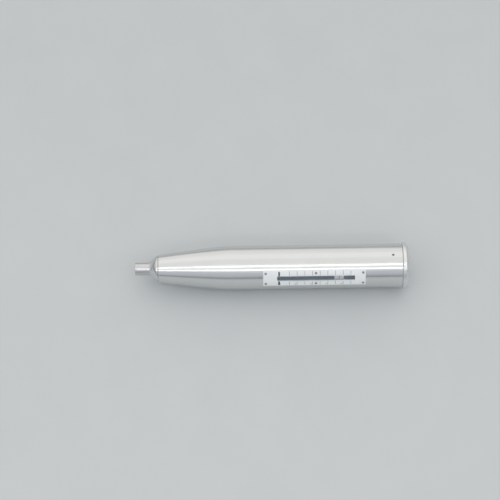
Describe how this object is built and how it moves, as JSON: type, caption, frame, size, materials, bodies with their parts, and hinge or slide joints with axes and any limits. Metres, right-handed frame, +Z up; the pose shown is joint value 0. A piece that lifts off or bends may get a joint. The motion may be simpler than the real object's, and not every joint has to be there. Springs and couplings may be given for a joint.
{
  "type": "concrete test hammer",
  "caption": "Rebound hammer for testing concrete: tapered metal housing with a spring-loaded plunger, sliding hammer mass, scale window with rider, and push-button lock.",
  "frame": {"origin": "on the tool's axis, at the middle of the straight barrel", "axes": "X along the tool's axis with the plunger towards -X and the rear cover towards +X, Z up, the scale facing -Y and upwards"},
  "size_m": [0.2705, 0.0504, 0.045],
  "materials": {
    "housing_aluminium": "satin turned aluminium",
    "cover_aluminium": "satin turned aluminium",
    "cap_steel": "bright turned steel",
    "plunger_steel": "ground steel",
    "mechanism_steel": "machined steel",
    "spring_steel": "drawn spring wire",
    "dark_steel": "blackened steel",
    "button_steel": "polished steel",
    "disk_brass": "turned brass",
    "felt": "pressed felt",
    "scale_white": "white enamel with black graduations",
    "window_clear": "clear acrylic",
    "rider_metal": "bright metal with an index line"
  },
  "bodies": {
    "housing_assembly": {"housing": "housing_aluminium", "front_cap": "cap_steel", "felt_washer": "felt", "split_ring": "mechanism_steel", "guide_sleeve": "mechanism_steel", "rear_cover": "cover_aluminium", "cover_set_screw": "dark_steel", "trip_screw": "mechanism_steel", "lock_nut": "mechanism_steel", "return_spring": "spring_steel", "impact_spring": "spring_steel", "scale_plate": "scale_white", "scale_screws": "dark_steel", "scale_window": "window_clear", "rider_rod": "mechanism_steel", "rod_block": "cover_aluminium", "button_bush": "cap_steel", "button_ring": "cap_steel", "button_spring": "spring_steel"},
    "striker": {"plunger": "plunger_steel", "buffer_spring": "spring_steel", "guide_bar": "mechanism_steel", "guide_disk": "disk_brass", "pawl_pin": "mechanism_steel", "pawl_spring": "spring_steel"},
    "latch": {"pawl": "dark_steel"},
    "hammer": {"hammer_mass": "mechanism_steel"},
    "pointer": {"rider": "rider_metal"},
    "button": {"push_button": "button_steel"}
  },
  "joints": [
    {"name": "plunger_slide", "type": "slide", "parent": "housing_assembly", "child": "striker", "axis": [1, 0, 0], "range_m": [-0.075, 0], "deforming": ["return_spring"]},
    {"name": "hammer_slide", "type": "slide", "parent": "housing_assembly", "child": "hammer", "axis": [1, 0, 0], "range_m": [0, 0.075], "stiffness_N_per_m": 785, "deforming": ["impact_spring"]},
    {"name": "rider_slide", "type": "slide", "parent": "housing_assembly", "child": "pointer", "axis": [1, 0, 0], "range_m": [-0.05625, 0.01875]},
    {"name": "button_press", "type": "slide", "parent": "housing_assembly", "child": "button", "axis": [0, -0.8572, 0.515], "range_m": [0, 0.0025], "stiffness_N_per_m": 400, "deforming": ["button_spring"]},
    {"name": "pawl_swing", "type": "hinge", "parent": "striker", "child": "latch", "pos_m": [0.053, 0, 0.0101], "axis": [0, 1, 0], "range_deg": [0, 15], "stiffness_Nm_per_rad": 0.02}
  ]
}
